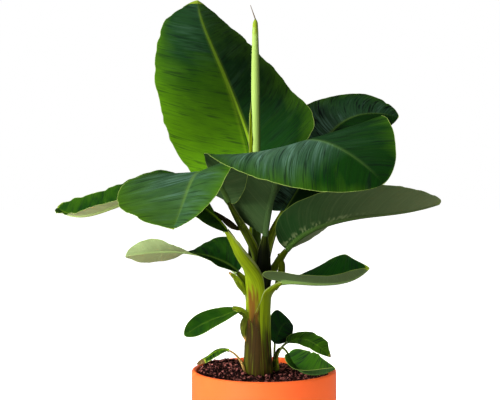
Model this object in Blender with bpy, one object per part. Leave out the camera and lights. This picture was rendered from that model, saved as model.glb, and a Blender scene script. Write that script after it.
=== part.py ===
"""Dwarf Cavendish banana: a young potted plant as closed solids, one object for each sub-part.

Metres, +Z up. The origin is the middle of the pot's flat underside, and -Y is the plant's front.
Bearings are degrees from +X towards +Y, and climbs are degrees above level.
A leaf is a stalk node and a blade node. Both follow one midrib, which is a curve of eased angles.
"""
import math
from dataclasses import dataclass

import bmesh
import bpy
import numpy as np

CLEARANCE = 0.0003        # gap between solids that touch

# Pot and soil
POT_DIAMETER = 0.240
POT_HEIGHT = 0.220
POT_WALL = 0.008
POT_FLOOR = 0.012
POT_FOOT_ROUND = 0.003
SOIL_LEVEL = 0.212
SOIL_MOUND = 0.004        # how far the middle of the soil stands above its edge
SOIL_MOUND_RADIUS = 0.060
ROUND_SIDES = 72
LIP_STEPS = 6
FOOT_STEPS = 3

# Pseudostem: the packed leaf sheaths, widest at the soil
STEM_X = -0.010
STEM_TOP = 0.332
STEM_SIDES = 24
STEM_PROFILE = [          # share of the height, radius
    (0.00, 0.0235),
    (0.08, 0.0230),
    (0.35, 0.0208),
    (0.70, 0.0200),
    (1.00, 0.0208),
]

# Leaf stalks leave the stem's top in a ring, one for each big leaf
RING_RADIUS = 0.0145
LONG_STALK = 0.090        # from this length on a stalk has more steps
LONG_STALK_STEPS = 12
SHORT_STALK_STEPS = 8
STALK_MIDDLE = 0.55       # where along the stalk its middle width is given
STALK_GROOVE = 0.3        # depth of the groove above, over the depth of the back below

# Blades
SMALL_BLADE = 0.150       # under this length a blade has fewer stations
BLADE_STATIONS = 18
SMALL_BLADE_STATIONS = 12
BLADE_SHARES = (0.16, 0.34, 0.56, 0.78, 1.0)      # lateral points, as shares of the half width
WALK_STEPS = 400          # steps in which a midrib is walked
THICKNESS_SHARE = 0.0105  # blade thickness over blade length
BASE_POWERS = (2.2, 0.50)  # rounding of the outline from the base to the widest place
TIP_POWERS = (2.0, 0.62)  # and from there to the tip
RIB_TAPER = 0.7           # share of the midrib's width and keel that is gone at the tip
RIB_MARGIN = 0.0012       # least blade beside the midrib
LOBE_START = 0.35         # share of the half width from which the shoulders sweep back
LOBE_POWER = 1.5
LOBE_FADE = 0.15          # share of the length over which the sweep dies away

# Rolled new leaf in the middle of the ring, which leans left, and its end thread a little more
ROLLED_X, ROLLED_Y = -0.0115, 0.0020
ROLLED_LEAN = 0.0030
ROLLED_THREAD_LEAN = 0.008
ROLLED_SIDES = 12
ROLLED_PROFILE = [        # height above the pot's underside, radius
    (0.3323, 0.0060),
    (0.420, 0.0075),
    (0.560, 0.0082),
    (0.640, 0.0078),
    (0.720, 0.0070),
    (0.770, 0.0055),
    (0.790, 0.0040),
    (0.796, 0.0018),
    (0.822, 0.0012),
]

# Sucker that stands beside the stem
PUP_X, PUP_Y = 0.0190, 0.0200
PUP_TOP = 0.236
PUP_PROFILE = [(0.0, 0.0075), (0.5, 0.0066), (1.0, 0.0062)]       # share of the height, radius
PUP_SIDES = 16
PUP_RING_RADIUS = 0.0034

# Colours and roughness
POT_COLOUR, POT_ROUGHNESS = (0.90, 0.22, 0.05), 0.45
SOIL_COLOUR, SOIL_ROUGHNESS = (0.035, 0.022, 0.018), 0.95
STEM_COLOUR, STEM_ROUGHNESS = (0.16, 0.13, 0.05), 0.6
ROLLED_COLOUR = (0.42, 0.55, 0.14)
PUP_COLOUR = (0.20, 0.20, 0.06)
STALK_COLOUR = (0.30, 0.38, 0.06)
LEAF_ROUGHNESS = 0.5
SHARP_ANGLE = 50          # degrees between faces, from which an edge is shaded sharp


@dataclass
class Leaf:
    """Angles are given at the stalk's foot, the blade's base, its middle and its tip."""
    name: str
    colour: tuple
    foot: tuple
    stalk: float
    length: float
    half_width: tuple             # left and right of the midrib, looking to the tip
    bearing: tuple
    climb: tuple
    roll: tuple                   # from here on: base, middle and tip of the blade
    fold: tuple                   # three angles for the left half, three for the right
    curl: tuple
    peak: float = 0.46            # where along the blade it is widest
    lobe: float = 0.0             # how far the shoulders sweep back past the base
    stalk_width: tuple = (0.0050, 0.0095, 0.0055)     # half width at foot, middle and end
    stalk_depth: tuple = (0.0085, 0.0080, 0.0055)
    level_foot: bool = True       # the stalk stands on a level top, not on the stem's flank


def on_circle(x, y, radius, bearing, z):
    a = math.radians(bearing)
    return (x + radius * math.cos(a), y + radius * math.sin(a), z)


def ring_foot(bearing):
    """A point on the ring of stalks at the stem's top."""
    return on_circle(STEM_X, 0.0, RING_RADIUS, bearing, STEM_TOP + CLEARANCE)


def pup_foot(bearing):
    """A point on the ring of stalks at the sucker's top."""
    return on_circle(PUP_X, PUP_Y, PUP_RING_RADIUS, bearing, PUP_TOP + CLEARANCE)


PUP_STALK = dict(stalk_width=(0.0020, 0.0020, 0.0018), stalk_depth=(0.0036, 0.0034, 0.0030))

LEAVES = [
    # The tall leaf at the back, upright, with its upper side to the front
    Leaf("back", (0.10, 0.30, 0.04), ring_foot(110), stalk=0.162, length=0.412, half_width=(0.128, 0.130),
         bearing=(107, 87, 162, 97), climb=(88, 68, 69, 49), roll=(-40, -40, -5),
         fold=((15, -10, 0), (25, 5, -15)), curl=((-15, -25, -20), (0, -20, -45)), peak=0.48,
         stalk_width=(0.0045, 0.0075, 0.0055)),
    # The broad dark leaf that arches over the front and hangs to the right
    Leaf("front", (0.03, 0.20, 0.10), ring_foot(290), stalk=0.112, length=0.426, half_width=(0.130, 0.126),
         bearing=(292, 294, 288, 333), climb=(88, 74, 14, -47), roll=(0, 0, 20),
         fold=((65, 15, 25), (45, -10, -30)), curl=((30, 0, 5), (20, -5, -20)), peak=0.42, lobe=-0.008),
    # Arches forward on the left
    Leaf("front_left", (0.06, 0.27, 0.10), ring_foot(200), stalk=0.174, length=0.314,
         half_width=(0.074, 0.116), bearing=(205, 233, 259, 262), climb=(88, 56, -21, -26), roll=(-10, 15, 5),
         fold=((-5, 15, 15), (0, 5, 15)), curl=((-30, -15, -10), (10, 5, 0)), peak=0.48),
    # Behind the broad front leaf, to the right
    Leaf("back_right", (0.04, 0.20, 0.09), ring_foot(65), stalk=0.162, length=0.322,
         half_width=(0.096, 0.104), bearing=(67, 41, 41, -7), climb=(88, 52, 46, -20), roll=(-5, 15, 30),
         fold=((20, 15, 10), (45, 15, -10)), curl=((-10, -10, -10), (20, 0, -15)), peak=0.48,
         stalk_width=(0.0045, 0.0075, 0.0055)),
    # Level leaf to the right, folded up so that its grey underside shows
    Leaf("right", (0.10, 0.20, 0.10), ring_foot(20), stalk=0.096, length=0.306, half_width=(0.074, 0.074),
         bearing=(20, -35, 23, 31), climb=(88, 46, 5, 13), roll=(-25, -25, -20),
         fold=((25, 25, 25), (25, 25, 15)), curl=((0, 0, 0), (-5, -10, -10)), peak=0.44, lobe=-0.010,
         stalk_width=(0.0045, 0.0068, 0.0055)),
    # Long level leaf to the left
    Leaf("left", (0.10, 0.26, 0.07), ring_foot(245), stalk=0.134, length=0.386, half_width=(0.044, 0.076),
         bearing=(251, 193, 153, 122), climb=(74, 53, -18, 18), roll=(-15, -10, -20),
         fold=((-15, 25, 40), (-5, 25, 40)), curl=((-35, -25, -20), (-20, -5, 0)), peak=0.36),
    # Small low leaf to the right, folded like a boat
    Leaf("low_right", (0.08, 0.22, 0.10), ring_foot(340), stalk=0.050, length=0.166,
         half_width=(0.066, 0.056), bearing=(-19, -43, -22, -47), climb=(81, 15, 3, 43), roll=(0, 10, 30),
         fold=((15, 35, 65), (25, 35, 55)), curl=((-30, -10, 15), (-15, -20, -10)), peak=0.30, lobe=0.070,
         stalk_width=(0.0045, 0.0052, 0.0045)),
    # Low leaf to the left, twisted half a turn so that its tip shows the pale underside
    Leaf("low_left", (0.20, 0.34, 0.12), ring_foot(155), stalk=0.052, length=0.200,
         half_width=(0.036, 0.058), bearing=(155, 167, 174, 174), climb=(87, 44, 4, -11), roll=(-55, 10, 70),
         fold=((35, 5, 30), (35, 5, 25)), curl=((15, 0, 10), (10, 0, 10)), peak=0.40,
         stalk_width=(0.0042, 0.0050, 0.0042)),
    # First small leaf, low on the left flank of the stem
    Leaf("small_left", (0.09, 0.26, 0.07), (-0.0312, -0.004, 0.313), stalk=0.008, length=0.103,
         half_width=(0.022, 0.022), bearing=(190, 193, 189, 201), climb=(35, 10, -19, -38),
         roll=(-25, -35, -55), fold=((20, 10, 0), (5, 10, 15)), curl=((5, 0, -5), (-5, 0, 5)), peak=0.48,
         stalk_width=(0.0030, 0.0028, 0.0024), stalk_depth=(0.0040, 0.0036, 0.0030), level_foot=False),
    # The sucker's three leaves
    Leaf("pup_right", (0.10, 0.30, 0.06), pup_foot(20), stalk=0.030, length=0.088,
         half_width=(0.021, 0.020), bearing=(17, 16, -38, 5), climb=(75, 30, -18, -48), roll=(30, 30, 30),
         fold=((5, 5, 5), (15, 10, 10)), curl=((-5, -5, -5), (0, 0, 0)), **PUP_STALK),
    Leaf("pup_front", (0.06, 0.24, 0.08), pup_foot(290), stalk=0.053, length=0.105,
         half_width=(0.036, 0.018), bearing=(-63, -60, -41, -6), climb=(81, -37, -7, 33), roll=(20, 15, 5),
         fold=((45, 50, 55), (35, 45, 60)), curl=((-5, 0, 5), (-20, -10, -5)), peak=0.48, lobe=0.009,
         **PUP_STALK),
    Leaf("pup_back", (0.05, 0.16, 0.06), pup_foot(110), stalk=0.021, length=0.077,
         half_width=(0.029, 0.024), bearing=(99, 68, 60, 51), climb=(85, 65, 26, -37), roll=(55, 55, 45),
         fold=((15, 10, -5), (10, 5, 0)), curl=((5, 0, -10), (0, -5, -10)), peak=0.44, **PUP_STALK),
    # The withered leaf that hangs over the pot's rim on the left
    Leaf("withered", (0.20, 0.26, 0.10), (-0.0315, -0.017, SOIL_LEVEL + CLEARANCE), stalk=0.052, length=0.062,
         half_width=(0.009, 0.007), bearing=(139, 157, 187, 188), climb=(83, 16, -34, -29),
         roll=(-35, -35, -40), fold=((-20, -20, -20), (-25, -25, -20)), curl=((0, 0, 0), (-5, -5, 0)),
         peak=0.44, stalk_width=(0.0022, 0.0018, 0.0016), stalk_depth=(0.0040, 0.0034, 0.0028)),
]


def ease(stations, values, at):
    """A smooth curve through the values: cubic pieces whose slopes come from the neighbours."""
    knots = np.asarray(stations, float)
    v = np.asarray(values, float)
    step = np.diff(knots)
    rise = np.diff(v) / step
    slope = np.empty_like(v)
    slope[0] = rise[0]
    slope[-1] = rise[-1]
    slope[1:-1] = (rise[:-1] * step[1:] + rise[1:] * step[:-1]) / (step[:-1] + step[1:])
    i = np.clip(np.searchsorted(knots, at, side="right") - 1, 0, len(step) - 1)
    x = (at - knots[i]) / step[i]
    start = (1 + 2 * x) * (1 - x) ** 2 * v[i] + x * (1 - x) ** 2 * step[i] * slope[i]
    end = x * x * (3 - 2 * x) * v[i + 1] + x * x * (x - 1) * step[i] * slope[i + 1]
    return start + end


def midrib(leaf, arc):
    """Centre, forward, left and up vectors at each arc length from the stalk's foot."""
    base = leaf.stalk
    end = leaf.stalk + leaf.length
    knots = (0.0, base, base + leaf.length / 2, end)
    fine = np.linspace(0.0, end, WALK_STEPS)

    def directions(at):
        a = np.radians(ease(knots, leaf.bearing, at))
        e = np.radians(ease(knots, leaf.climb, at))
        forward = np.stack([np.cos(e) * np.cos(a), np.cos(e) * np.sin(a), np.sin(e)], 1)
        up = np.stack([-np.sin(e) * np.cos(a), -np.sin(e) * np.sin(a), np.cos(e)], 1)
        return forward, up

    path = directions(fine)[0]
    walk = np.cumsum((path[1:] + path[:-1]) / 2 * fine[1], 0)
    centre = np.vstack([np.zeros(3), walk]) + np.array(leaf.foot)
    centre = np.stack([np.interp(arc, fine, centre[:, k]) for k in range(3)], 1)
    forward, up = directions(arc)
    left = np.cross(up, forward)
    share = np.clip(arc / base, 0, 1)
    on_stalk = leaf.roll[0] * share * share * (3 - 2 * share)
    on_blade = ease(knots[1:], leaf.roll, np.maximum(arc, base))
    roll = np.radians(np.where(arc < base, on_stalk, on_blade))[:, None]
    return (centre, forward, np.cos(roll) * left + np.sin(roll) * up,
            np.cos(roll) * up - np.sin(roll) * left)


def outline(share, peak):
    """Half width of a blade, as a share of its widest, along its length."""
    def rounded(away, powers):
        return np.clip(1 - np.abs(away) ** powers[0], 0, 1) ** powers[1]

    before = rounded((peak - share) / peak, BASE_POWERS)
    after = rounded((share - peak) / (1 - peak), TIP_POWERS)
    return np.where(share < peak, before, after)


def section(leaf, side, share, width, steps):
    """Lateral offsets, heights and lean angles of one half of the blade at each station."""
    fold = np.radians(ease((0, 0.5, 1), leaf.fold[side], share))[:, None]
    curl = np.radians(ease((0, 0.5, 1), leaf.curl[side], share))[:, None]
    middle = (steps[:, 1:] + steps[:, :-1]) / 2
    lean = fold + curl * middle
    run = np.cumsum(np.cos(lean) * np.diff(steps), 1) * width[:, None]
    rise = np.cumsum(np.sin(lean) * np.diff(steps), 1) * width[:, None]
    at_points = fold + curl * steps[:, 1:]
    return run, rise, at_points


def loft(name, rings, colour, roughness=LEAF_ROUGHNESS):
    """A closed object through rings of equal count.

    Point k of a ring lies across from its point count - 1 - k, so each end closes with quads.
    """
    count = len(rings[0])
    half = count // 2
    verts = [tuple(p) for ring in rings for p in ring]
    faces = []
    for i in range(len(rings) - 1):
        for k in range(count):
            a = i * count + k
            b = i * count + (k + 1) % count
            faces.append((a, b, b + count, a + count))
    last = (len(rings) - 1) * count
    for k in range(half - 1):
        pair = (k, k + 1, count - 2 - k, count - 1 - k)
        faces.append(pair[::-1])
        faces.append(tuple(last + q for q in pair))
    return add_object(name, verts, faces, colour, roughness)


def add_object(name, verts, faces, colour, roughness):
    """A mesh object with outward normals and its own material."""
    mesh = bpy.data.meshes.new(name)
    mesh.from_pydata(verts, [], faces)
    mesh.validate()
    obj = bpy.data.objects.new(name, mesh)
    bpy.context.collection.objects.link(obj)
    bm = bmesh.new()
    bm.from_mesh(mesh)
    bmesh.ops.recalc_face_normals(bm, faces=bm.faces)
    bm.to_mesh(mesh)
    bm.free()
    mesh.shade_smooth()
    mesh.set_sharp_from_angle(angle=math.radians(SHARP_ANGLE))
    material = bpy.data.materials.new(name)
    material.use_nodes = True
    shader = material.node_tree.nodes["Principled BSDF"]
    shader.inputs["Base Color"].default_value = (*colour, 1)
    shader.inputs["Roughness"].default_value = roughness
    shader.inputs["Metallic"].default_value = 0.0
    mesh.materials.append(material)
    return obj


def add_blade(leaf):
    """The leaf's thin blade, with the midrib's keel under it."""
    stations = SMALL_BLADE_STATIONS if leaf.length < SMALL_BLADE else BLADE_STATIONS
    share = (1 - np.cos(np.pi * np.arange(stations + 1) / stations)) / 2
    arc = leaf.stalk + CLEARANCE + share * (leaf.length - CLEARANCE)
    centre, forward, left, up = midrib(leaf, arc)
    thickness = THICKNESS_SHARE * leaf.length
    taper = 1 - RIB_TAPER * share
    rib = leaf.stalk_width[2] * taper
    keel = leaf.stalk_depth[2] * taper
    shape = outline(share, leaf.peak)
    tops = {}
    normals = {}
    for side, sign in ((0, 1), (1, -1)):
        width = np.maximum(leaf.half_width[side] * shape, rib + RIB_MARGIN)
        inner = (rib / width)[:, None]
        shares = inner + (1 - inner) * np.array(BLADE_SHARES)
        steps = np.hstack([np.zeros_like(inner), inner, shares])
        run, rise, lean = section(leaf, side, share, width, steps)
        reach = np.clip((steps[:, 1:] - LOBE_START) / (1 - LOBE_START), 0, 1) ** LOBE_POWER
        sweep = leaf.lobe * reach * (shape * np.exp(-share / LOBE_FADE))[:, None]
        tops[side] = (centre[:, None] + sign * run[..., None] * left[:, None] + rise[..., None] * up[:, None]
                      - sweep[..., None] * forward[:, None])
        normals[side] = np.cos(lean)[..., None] * up[:, None] - sign * np.sin(lean)[..., None] * left[:, None]
    rings = []
    for i in range(stations + 1):
        top = [*tops[0][i][::-1], centre[i], *tops[1][i]]
        normal = [*normals[0][i][::-1], up[i], *normals[1][i]]
        middle = len(top) // 2
        depth = [thickness] * len(top)
        depth[middle] += keel[i]
        bottom = [p - n * d for p, n, d in zip(top, normal, depth)]
        rings.append(top + bottom[::-1])
    return loft("leaf_" + leaf.name, rings, leaf.colour)


def crescent(centre, left, up, half_width, depth):
    """A channelled stalk's section: a shallow groove above, on the midrib, and a round back below."""
    groove = [(0.92, 0.0), (0.5, -0.22), (0.0, -STALK_GROOVE), (-0.5, -0.22), (-0.92, 0.0)]
    angles = [math.radians(a) for a in (-168, -130, -90, -50, -12)]
    back = [(math.cos(a), math.sin(a)) for a in angles]
    return [centre + half_width * x * left + depth * (y + STALK_GROOVE) * up for x, y in groove + back]


def add_stalk(leaf):
    """The leaf's channelled stalk, flat at its foot and square to the midrib at its end."""
    steps = LONG_STALK_STEPS if leaf.stalk > LONG_STALK else SHORT_STALK_STEPS
    share = np.arange(steps + 1) / steps
    centre, _, left, up = midrib(leaf, share * leaf.stalk)
    half_width = ease((0, STALK_MIDDLE, 1), leaf.stalk_width, share)
    depth = ease((0, STALK_MIDDLE, 1), leaf.stalk_depth, share)
    rings = [crescent(*station) for station in zip(centre, left, up, half_width, depth)]
    if leaf.level_foot:
        for point in rings[0]:
            point[2] = leaf.foot[2]
    return loft("stalk_" + leaf.name, rings, STALK_COLOUR)


def upright(z):
    return 0.0


def turned(name, profile, colour, roughness, axis=(0.0, 0.0), sides=ROUND_SIDES, lean=upright):
    """A closed turned solid from a profile of radius and height, whose ends lie on the axis."""
    verts = []
    faces = []
    inner = profile[1:-1]
    for radius, z in inner:
        for k in range(sides):
            verts.append(on_circle(axis[0] + lean(z), axis[1], radius, 360 * k / sides, z))
    for row in range(len(inner) - 1):
        for k in range(sides):
            a = row * sides + k
            b = row * sides + (k + 1) % sides
            faces.append((a, b, b + sides, a + sides))
    for z, row in ((profile[0][1], 0), (profile[-1][1], len(inner) - 1)):
        tip = len(verts)
        verts.append((axis[0] + lean(z), axis[1], z))
        for k in range(sides):
            faces.append((tip, row * sides + k, row * sides + (k + 1) % sides))
    return add_object(name, verts, faces, colour, roughness)


def arc_points(centre_radius, centre_z, radius, start, end, steps):
    """Profile points along part of a round."""
    angles = np.radians(np.linspace(start, end, steps + 1))
    return [(centre_radius + radius * math.cos(a), centre_z + radius * math.sin(a)) for a in angles]


def add_pot():
    outer = POT_DIAMETER / 2
    lip = POT_WALL / 2
    inner = outer - POT_WALL
    profile = [(0.0, 0.0)]
    profile += arc_points(outer - POT_FOOT_ROUND, POT_FOOT_ROUND, POT_FOOT_ROUND, -90, 0, FOOT_STEPS)
    profile += arc_points(outer - lip, POT_HEIGHT - lip, lip, 0, 180, LIP_STEPS)
    profile += [(inner, POT_FLOOR), (0.0, POT_FLOOR)]
    return turned("pot", profile, POT_COLOUR, POT_ROUGHNESS)


def add_soil():
    radius = POT_DIAMETER / 2 - POT_WALL - CLEARANCE
    bottom = POT_FLOOR + CLEARANCE
    edge = SOIL_LEVEL - SOIL_MOUND
    profile = [(0.0, bottom), (radius, bottom), (radius, edge), (SOIL_MOUND_RADIUS, SOIL_LEVEL),
               (0.0, SOIL_LEVEL)]
    return turned("soil", profile, SOIL_COLOUR, SOIL_ROUGHNESS)


def add_round_stem(name, shares, top, colour, axis, sides):
    """A stem that stands on the soil, from a profile in shares of its height."""
    bottom = SOIL_LEVEL + CLEARANCE
    profile = [(0.0, bottom)]
    profile += [(radius, bottom + share * (top - bottom)) for share, radius in shares]
    profile += [(0.0, top)]
    return turned(name, profile, colour, STEM_ROUGHNESS, axis=axis, sides=sides)


def add_rolled_leaf():
    foot = ROLLED_PROFILE[0][0]
    thread = ROLLED_PROFILE[-2][0]
    top = ROLLED_PROFILE[-1][0]

    def lean(z):
        straight = -ROLLED_LEAN * (z - foot) / (top - foot)
        return straight - ROLLED_THREAD_LEAN * max(0.0, (z - thread) / (top - thread))

    profile = [(0.0, foot)] + [(radius, z) for z, radius in ROLLED_PROFILE] + [(0.0, top)]
    return turned("rolled_leaf", profile, ROLLED_COLOUR, LEAF_ROUGHNESS, axis=(ROLLED_X, ROLLED_Y),
                  sides=ROLLED_SIDES, lean=lean)


def main():
    for obj in list(bpy.data.objects):
        bpy.data.objects.remove(obj, do_unlink=True)
    add_pot()
    add_soil()
    add_round_stem("pseudostem", STEM_PROFILE, STEM_TOP, STEM_COLOUR, (STEM_X, 0.0), STEM_SIDES)
    add_rolled_leaf()
    add_round_stem("pup_stem", PUP_PROFILE, PUP_TOP, PUP_COLOUR, (PUP_X, PUP_Y), PUP_SIDES)
    for leaf in LEAVES:
        add_stalk(leaf)
        add_blade(leaf)


main()
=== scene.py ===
"""Looks of a young Dwarf Cavendish banana in a clay pot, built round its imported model.

Metres, +Z up, in the model's frame: the origin is the middle of the pot's flat underside and -Y is the
plant's front. Bearings are degrees from +X towards +Y, climbs are degrees above level.

Each leaf follows the rule that the model's source follows, worked out again here on a finer grid: a midrib
made of eased angles, an outline, and a fold and a curl for each half of the blade. Added to it are pleats
along the veins, a waved and worn margin, a grooved midrib, and a sheath that wraps the stem.
"""
import math
from dataclasses import dataclass

import bpy
import numpy as np
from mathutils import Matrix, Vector


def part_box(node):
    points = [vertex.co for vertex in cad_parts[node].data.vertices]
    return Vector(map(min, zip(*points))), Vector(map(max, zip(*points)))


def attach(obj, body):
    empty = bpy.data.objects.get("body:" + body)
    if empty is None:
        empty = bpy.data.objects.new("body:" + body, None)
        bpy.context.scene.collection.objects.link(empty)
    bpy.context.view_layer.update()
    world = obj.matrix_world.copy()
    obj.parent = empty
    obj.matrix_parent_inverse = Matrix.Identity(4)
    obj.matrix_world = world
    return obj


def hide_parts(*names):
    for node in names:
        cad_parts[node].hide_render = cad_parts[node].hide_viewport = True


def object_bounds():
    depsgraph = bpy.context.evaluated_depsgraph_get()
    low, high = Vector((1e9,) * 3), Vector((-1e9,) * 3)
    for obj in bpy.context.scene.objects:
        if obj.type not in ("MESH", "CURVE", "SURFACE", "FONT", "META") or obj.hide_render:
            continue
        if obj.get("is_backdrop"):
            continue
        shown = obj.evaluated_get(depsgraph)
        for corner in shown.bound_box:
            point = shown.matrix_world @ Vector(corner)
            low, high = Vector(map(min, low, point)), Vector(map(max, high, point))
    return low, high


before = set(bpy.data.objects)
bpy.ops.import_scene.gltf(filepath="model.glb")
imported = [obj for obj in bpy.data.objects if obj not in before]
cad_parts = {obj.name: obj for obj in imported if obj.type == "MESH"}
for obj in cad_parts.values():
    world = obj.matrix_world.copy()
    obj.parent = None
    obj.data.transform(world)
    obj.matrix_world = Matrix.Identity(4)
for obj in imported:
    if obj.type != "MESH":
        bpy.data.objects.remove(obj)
CAD_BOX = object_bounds()

# ---- Places read from the model ----
POT_LOW, POT_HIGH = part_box("pot")
SOIL_LOW, SOIL_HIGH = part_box("soil")
STEM_LOW, STEM_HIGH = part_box("pseudostem")
PUP_LOW, PUP_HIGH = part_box("pup_stem")
POT_RADIUS = (POT_HIGH.x - POT_LOW.x) / 2
POT_TOP = POT_HIGH.z
SOIL_RADIUS = (SOIL_HIGH.x - SOIL_LOW.x) / 2
SOIL_TOP = SOIL_HIGH.z
STEM_X = (STEM_LOW.x + STEM_HIGH.x) / 2
STEM_TOP = STEM_HIGH.z
PUP_X = (PUP_LOW.x + PUP_HIGH.x) / 2
PUP_Y = (PUP_LOW.y + PUP_HIGH.y) / 2
PUP_TOP = PUP_HIGH.z
CLEARANCE = 0.0003

# ---- The leaf rule's sizes, as in the model's source ----
RING_RADIUS = 0.0145
PUP_RING_RADIUS = 0.0034
STALK_MIDDLE = 0.55
STALK_GROOVE = 0.3
BASE_POWERS = (2.2, 0.50)
TIP_POWERS = (2.0, 0.62)
RIB_TAPER = 0.7
LOBE_START = 0.35
LOBE_POWER = 1.5
LOBE_FADE = 0.15
WALK_STEPS = 400

# ---- Fine detail of the leaves ----
BLADE_THICKNESS = 0.0007      # beside the midrib
MARGIN_THICKNESS = 0.00035
LEAST_WIDTH = 0.0008          # half width of a blade at its very tip
BIG_GRID = (240, 26)          # stations along a blade, points from the midrib to the margin
SMALL_GRID = (110, 16)
SMALL_BLADE = 0.150
RIB_POINTS = 7
RIB_FLARE_FADE = 0.18
RIB_GROOVE = 0.12             # depth of the groove along the midrib, as a share of the stalk's depth
KEEL_DEPTH = 0.7              # how far the midrib stands out below, as a share of the stalk's depth
VEIN_HOOK = 0.12              # how far the veins bend to the tip at the margin, as a share of the width
PLEAT_PITCH = 0.0075
PLEAT_HEIGHT = 0.00028
PLEAT_LENGTH = 0.08
FULL_PLEAT_BLADE = 0.3        # shorter blades have lower pleats
DENT_SIZE = (0.006, 0.010)
WAVE_PITCH = 0.034
MARGIN_RIPPLES = ((0.010, 0.011), (0.012, 0.028))     # share of the width, pitch
SHEATH_POINTS = 15            # across a sheath or a stalk, on each face


def all_over(share):
    """One share for the base and the tip of both halves of a blade."""
    return (share,) * 4


@dataclass
class Leaf:
    """Angles are given at the stalk's foot, the blade's base, its middle and its tip."""
    name: str
    foot: tuple
    stalk: float
    length: float
    half_width: tuple             # left and right of the midrib, looking to the tip
    bearing: tuple
    climb: tuple
    roll: tuple                   # from here on: base, middle and tip of the blade
    fold: tuple                   # three angles for the left half, three for the right
    curl: tuple
    peak: float = 0.46            # where along the blade it is widest
    lobe: float = 0.0             # how far the shoulders sweep back past the base
    stalk_width: tuple = (0.0050, 0.0095, 0.0055)     # half width at foot, middle and end
    stalk_depth: tuple = (0.0085, 0.0080, 0.0055)
    sheath: tuple = None          # layer from the outside, wrap in degrees, height of its slanting edge
    wings: float = 0.0            # length over which the stalk's thin wings narrow above the stem
    fresh_and_lit: tuple = all_over(0.3)      # share of bright green, set per half also as painted light and shade: left half's base and tip, right half's
    streaks: float = 0.3          # dark streaks between the veins
    blush: float = 0.0            # maroon on the underside
    wave: float = 0.0014          # height of the margin's waves
    stalk_tone: tuple = (0.8, 0.5)    # yellow green at the stalk's foot and at its end
    worn: tuple = ()              # notches: side, place along, depth (below 0 it bulges), half length
    dry_tip: tuple = (0.010, 0.6)     # share of the length that has dried at the tip, and how dry
    pale_and_lit_under: tuple = all_over(0.07)    # how pale the underside is, also painted light where it faces the lamp, set like the bright green share
    painted_sheen: tuple = all_over(0.0)       # painted bluish sheen, standing in for reflected light, set like the bright green share
    rim: float = 0.12             # how much fresher the margins are
    painted_shade: tuple = (0.0, 0.0)     # painted shade on the stalk low down among the crowded stalks: how dark, and up to what share of it
    crinkle: float = 0.0          # height of small dents, in pleats, and painted highlights flecked along the rib below
    rib_shown: tuple = (1.0, 0.7)     # how light the midrib is, above and below
    flare: float = 0.0            # how much wider half the midrib is at the base
    slant: float = 20             # veins lean by this angle towards the tip
    withered: float = 0.0         # how far the stalk has dried
    shift: float = 0.0            # how far the stalk's foot stands to the right of the model's


def on_circle(x, y, radius, bearing, z):
    a = math.radians(bearing)
    return (x + radius * math.cos(a), y + radius * math.sin(a), z)


def ring_foot(bearing):
    return on_circle(STEM_X, 0.0, RING_RADIUS, bearing, STEM_TOP + CLEARANCE)


def pup_foot(bearing):
    return on_circle(PUP_X, PUP_Y, PUP_RING_RADIUS, bearing, PUP_TOP + CLEARANCE)


PUP_STALK = dict(stalk_width=(0.0020, 0.0020, 0.0018), stalk_depth=(0.0036, 0.0034, 0.0030), wave=0.0012)

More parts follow.
